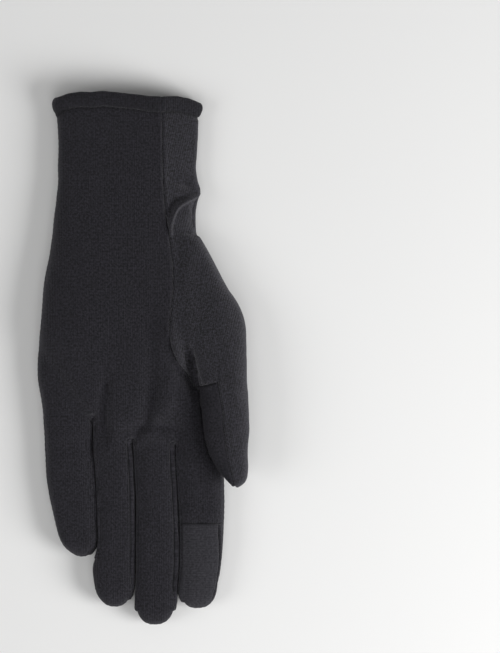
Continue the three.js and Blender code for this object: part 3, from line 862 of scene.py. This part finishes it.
def knitMaterial(name, group):
    look = knitFinishes[name]
    material = bpy.data.materials.new(name)
    material.use_nodes = True
    nodes, links = material.node_tree.nodes, material.node_tree.links
    surface = nodes["Principled BSDF"]
    surface.inputs["Roughness"].default_value = 0.92
    surface.inputs["Specular IOR Level"].default_value = 0.25
    surface.inputs["Sheen Weight"].default_value = look["sheen"]
    surface.inputs["Sheen Roughness"].default_value = 0.55
    surface.inputs["Sheen Tint"].default_value = (0.70, 0.69, 0.75, 1)
    cloth = nodes.new("ShaderNodeUVMap")
    cloth.uv_map = "cloth"
    knit = nodes.new("ShaderNodeGroup")
    knit.node_tree = group
    for socket, key in (("Wale", "wale"), ("Course", "course"), ("Waver", "waver"), ("Heather", "heather")):
        knit.inputs[socket].default_value = look[key]
    links.new(cloth.outputs["UV"], knit.inputs["Cloth"])
    mix = nodes.new("ShaderNodeMix")
    mix.data_type = "RGBA"
    mix.inputs["A"].default_value = (*look["dark"], 1)
    mix.inputs["B"].default_value = (*look["light"], 1)
    links.new(knit.outputs["Shade"], mix.inputs["Factor"])
    links.new(mix.outputs["Result"], surface.inputs["Base Color"])
    bump = nodes.new("ShaderNodeBump")
    bump.inputs["Strength"].default_value = 1.0
    bump.inputs["Distance"].default_value = look["bump"]
    links.new(knit.outputs["Height"], bump.inputs["Height"])
    links.new(bump.outputs["Normal"], surface.inputs["Normal"])
    return material


def threadMaterial():
    # twisted sewing thread, a little darker than the knit
    material = bpy.data.materials.new("sewingThread")
    material.use_nodes = True
    nodes, links = material.node_tree.nodes, material.node_tree.links
    surface = nodes["Principled BSDF"]
    surface.inputs["Roughness"].default_value = 0.7
    place = nodes.new("ShaderNodeTexCoord")
    twist = nodes.new("ShaderNodeTexNoise")
    twist.inputs["Scale"].default_value = 3000
    links.new(place.outputs["Object"], twist.inputs["Vector"])
    mix = nodes.new("ShaderNodeMix")
    mix.data_type = "RGBA"
    mix.inputs["A"].default_value = (0.0045, 0.0042, 0.0060, 1)
    mix.inputs["B"].default_value = (0.0120, 0.0112, 0.0145, 1)
    links.new(twist.outputs["Fac"], mix.inputs["Factor"])
    links.new(mix.outputs["Result"], surface.inputs["Base Color"])
    return material


def makeHem(material):
    # the profile is swept round the wrist and closed on itself, then gathered along its seam
    bm = bmesh.new()
    firstEdges, lastEdges = drawOut(bm, [hemRing(*entry) for entry in hem["profile"]])[2:]
    bmesh.ops.bridge_loops(bm, edges=firstEdges + lastEdges)
    bmesh.ops.recalc_face_normals(bm, faces=bm.faces)
    bmesh.ops.subdivide_edges(bm, edges=bm.edges[:], cuts=1, use_grid_fill=True, smooth=0.0)
    relax(bm, bm.verts[:], 2)
    bm.normal_update()
    # painted shade: the band darkens towards its lower, sewn edge where it meets the palm
    shade = bm.verts.layers.float.new("seamShade")
    for vert in bm.verts:
        p = vert.co
        level = p.y - cuffShift(p.x)
        vert[shade] = min(1.0, max(0.0, (hem["shadeFrom"] - level) / hem["shadeLength"]))
        wave = hem["wave"] * noise.noise(Vector((p.x / 9, p.y / 14, p.z / 7 + 3)))
        gather = math.cos(2 * math.pi * p.x / hem["stitchPitch"]) * math.exp(-(((level - 121.4) / 1.1) ** 2))
        move = wave + hem["pucker"] * gather + hem["groove"] * math.exp(-(((level - hem["sewn"]) / 0.6) ** 2))
        if p.z > glove["seamLevel"]:
            move += sum(depth * math.exp(-(((p.x - x) / width) ** 2)) for x, depth, width in hem["dents"])
        vert.co = p + vert.normal * move * min(1.0, p.z / 1.2 + 0.1)
        vert.co.z = max(vert.co.z, 0.0)
    bm.normal_update()
    return finishPiece(meshFrom(bm, "cuffHem"), "cuffHem", "palm", material)


stitches = {"pitch": 2.2, "half": 0.50, "thick": 0.13, "slant": 0.45, "sunk": 0.10, "lowest": 0.6,
            "hemHalf": 0.85, "hemSunk": 0.22, "hemSideSunk": 0.6, "hemLowest": 0.4}


def stitchShape():
    # one plump length of thread, a unit long each way
    bm = bmesh.new()
    bmesh.ops.create_uvsphere(bm, u_segments=6, v_segments=6, radius=1, matrix=Matrix.Rotation(math.pi / 2, 4, "Y"))
    return meshFrom(bm, "stitchShape")


def addStitch(bm, shape, place, along, normal, half, thick):
    # the thread lies in the given direction, slightly sunk
    side = normal.cross(along).normalized()
    turned = Matrix((along.normalized(), side, normal)).transposed().to_4x4()
    size = Matrix.Diagonal((half, thick, thick, 1))
    placed = Matrix.Translation(place) @ turned @ size
    shape.transform(placed)
    bm.from_mesh(shape)
    shape.transform(placed.inverted())


def makeSeamStitches(chains, shape, material):
    bm = bmesh.new()
    for chain in chains:
        run = 0.0
        for k in range(1, len(chain)):
            step = chain[k].co - chain[k - 1].co
            before, run = run, run + step.length
            if int(run / stitches["pitch"]) == int(before / stitches["pitch"]) or step.length < 1e-5:
                continue
            normal = sum((vert.normal for vert in chain[max(0, k - 3):k + 4]), Vector()).normalized()
            if normal.z < -0.9 and chain[k].co.z < stitches["lowest"]:
                continue
            across = normal.cross(step.normalized()).normalized() + step.normalized() * stitches["slant"]
            place = chain[k].co - normal * stitches["sunk"]
            addStitch(bm, shape, place, across.normalized(), normal, stitches["half"], stitches["thick"])
    return threadPiece(bm, "seamStitches", material)


def makeHemStitches(shape, material):
    bm = bmesh.new()
    ring = hemRing(hem["sewn"], 0.0)
    step = np.linalg.norm(np.roll(ring, -1, axis=0) - ring, axis=1)
    run = np.append(0, np.cumsum(step))
    total = run[-1]
    closed = np.vstack([ring, ring[:1]])
    centre = Vector(((hem["left"] + hem["right"]) / 2, 120.5, glove["seamLevel"]))
    for k in range(int(total / hem["stitchPitch"])):
        at = k * hem["stitchPitch"]
        here = Vector([np.interp(at, run, closed[:, c]) for c in range(3)])
        there = Vector([np.interp(min(at + 0.5, total), run, closed[:, c]) for c in range(3)])
        along = (there - here).normalized()
        normal = Vector((0, 1, 0)).cross(along).normalized()
        if normal.dot(here - centre) < 0:
            normal = -normal
        if here.z < stitches["hemLowest"]:
            continue
        sunk = stitches["hemSunk"] if normal.z > 0.7 else stitches["hemSideSunk"]
        addStitch(bm, shape, here - normal * sunk, along, normal, stitches["hemHalf"], stitches["thick"])
    return threadPiece(bm, "hemStitches", material)


def threadPiece(bm, name, material):
    for face in bm.faces:
        face.smooth = True
    bmesh.ops.scale(bm, vec=(millimetre,) * 3, verts=bm.verts)
    mesh = meshFrom(bm, name)
    mesh.materials.append(material)
    piece = bpy.data.objects.new(name, mesh)
    bpy.context.scene.collection.objects.link(piece)
    return piece


skin = makeSkin()
print("skin made:", len(skin.verts), "points")
shapeSkin(skin)
panelLayer = cutPanels(skin)
chains = walkSeams(skin, panelLayer)
sinkSeams(skin, chains)
print("panels cut:", len(chains), "seam runs")

# Each panel: how its cloth runs, its knit, the node it replaces and that node's slot
jersey = knitGroup()
finishes = {name: knitMaterial(name, jersey) for name in knitFinishes}
thread = threadMaterial()
panelPlan = {
    "thumbTouchKnit": ("thumb", "thumbTouch", "thumb_touch_panel", "thumb_touch_fabric"),
    "thumbKnit": ("thumb", "thumbJerseyPaintedLight", "thumb_panel", "thumb_knit"),
    "gussetRingLittle": ("gusset", "palmJersey", "fourchette_ring_little", "palm_knit"),
    "gussetMiddleRing": ("gusset", "palmJersey", "fourchette_middle_ring", "palm_knit"),
    "gussetIndexMiddle": ("gusset", "palmJersey", "fourchette_index_middle", "palm_knit"),
    "indexTouchKnit": ("palm", "indexTouch", "index_touch_patch", "index_touch_fabric"),
    "palmKnit": ("palm", "palmJersey", "palm_panel", "palm_knit"),
    "backKnit": ("back", "palmJersey", "back_panel", "palm_knit"),
}
for number, name in enumerate(panelNames, 1):
    kind, finish, node, slotName = panelPlan[name]
    piece = makePanel(skin, number, name, kind, finishes[finish])
    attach(piece, "root")
    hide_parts(node)
hemPiece = makeHem(finishes["hemJersey"])
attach(hemPiece, "root")
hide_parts("cuff_hem")
stitch = stitchShape()
for piece in (makeSeamStitches(chains, stitch, thread), makeHemStitches(stitch, thread)):
    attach(piece, "root")
skin.free()
print("pieces made")

# Floor, light and camera
studio = {
    "photoWidth": 500, "photoHeight": 653, "millimetrePerPixel": 0.48, "photoOrigin": (143.5, 357.0),
    "cameraHeight": 1.9, "sensor": 36.0,
    "scaleHeight": 0.010,    # level at which a pixel is the length above
    "floorHalf": 9.0, "floorColor": (0.78, 0.78, 0.775, 1), "skyStrength": 0.205,
}


def makeFloor():
    bm = bmesh.new()
    bmesh.ops.create_grid(bm, x_segments=1, y_segments=1, size=studio["floorHalf"])
    floor = bpy.data.objects.new("floor", meshFrom(bm, "floor"))
    bpy.context.scene.collection.objects.link(floor)
    material = bpy.data.materials.new("paleFloor")
    material.use_nodes = True
    surface = material.node_tree.nodes["Principled BSDF"]
    surface.inputs["Base Color"].default_value = studio["floorColor"]
    surface.inputs["Roughness"].default_value = 0.85
    floor.data.materials.append(material)


def addLight(name, place, target, size, power):
    data = bpy.data.lights.new(name, "AREA")
    data.shape, data.size, data.energy = "SQUARE", size, power
    lamp = bpy.data.objects.new(name, data)
    lamp.location = place
    lamp.rotation_euler = (Vector(target) - Vector(place)).to_track_quat("-Z", "Y").to_euler()
    bpy.context.scene.collection.objects.link(lamp)


def addSun(name, direction, spread, strength):
    data = bpy.data.lights.new(name, "SUN")
    data.angle, data.energy = spread, strength
    lamp = bpy.data.objects.new(name, data)
    lamp.rotation_euler = (-Vector(direction)).to_track_quat("-Z", "Y").to_euler()
    bpy.context.scene.collection.objects.link(lamp)


def makeCamera():
    scale = studio["millimetrePerPixel"] * millimetre
    centreX = (studio["photoWidth"] / 2 - studio["photoOrigin"][0]) * scale
    centreY = (studio["photoOrigin"][1] - studio["photoHeight"] / 2) * scale
    data = bpy.data.cameras.new("overhead")
    data.sensor_width = studio["sensor"]
    data.lens = studio["sensor"] * studio["cameraHeight"] / (studio["photoHeight"] * scale)
    data.clip_start, data.clip_end = 0.1, 20
    camera = bpy.data.objects.new("overhead", data)
    camera.location = (centreX, centreY, studio["cameraHeight"] + studio["scaleHeight"])
    bpy.context.scene.collection.objects.link(camera)
    bpy.context.scene.camera = camera


makeFloor()
makeCamera()
addLight("softRight", (0.95, -0.38, 0.58), (0.02, -0.03, 0.01), 0.6, 13.2)
addSun("softLeft", (-1.0, -0.2, 0.72), 0.6, 0.88)
addSun("softTop", (0.0, -0.6, 1.3), 0.8, 0.38)
addLight("softFront", (0.0, -0.42, 0.75), (0, 0, 0), 0.6, 0.85)
world = bpy.data.worlds.new("studio")
world.use_nodes = True
world.node_tree.nodes["Background"].inputs["Color"].default_value = (1, 1, 1, 1)
world.node_tree.nodes["Background"].inputs["Strength"].default_value = studio["skyStrength"]
bpy.context.scene.world = world
bpy.context.scene.view_settings.view_transform = "Standard"
print("studio made")
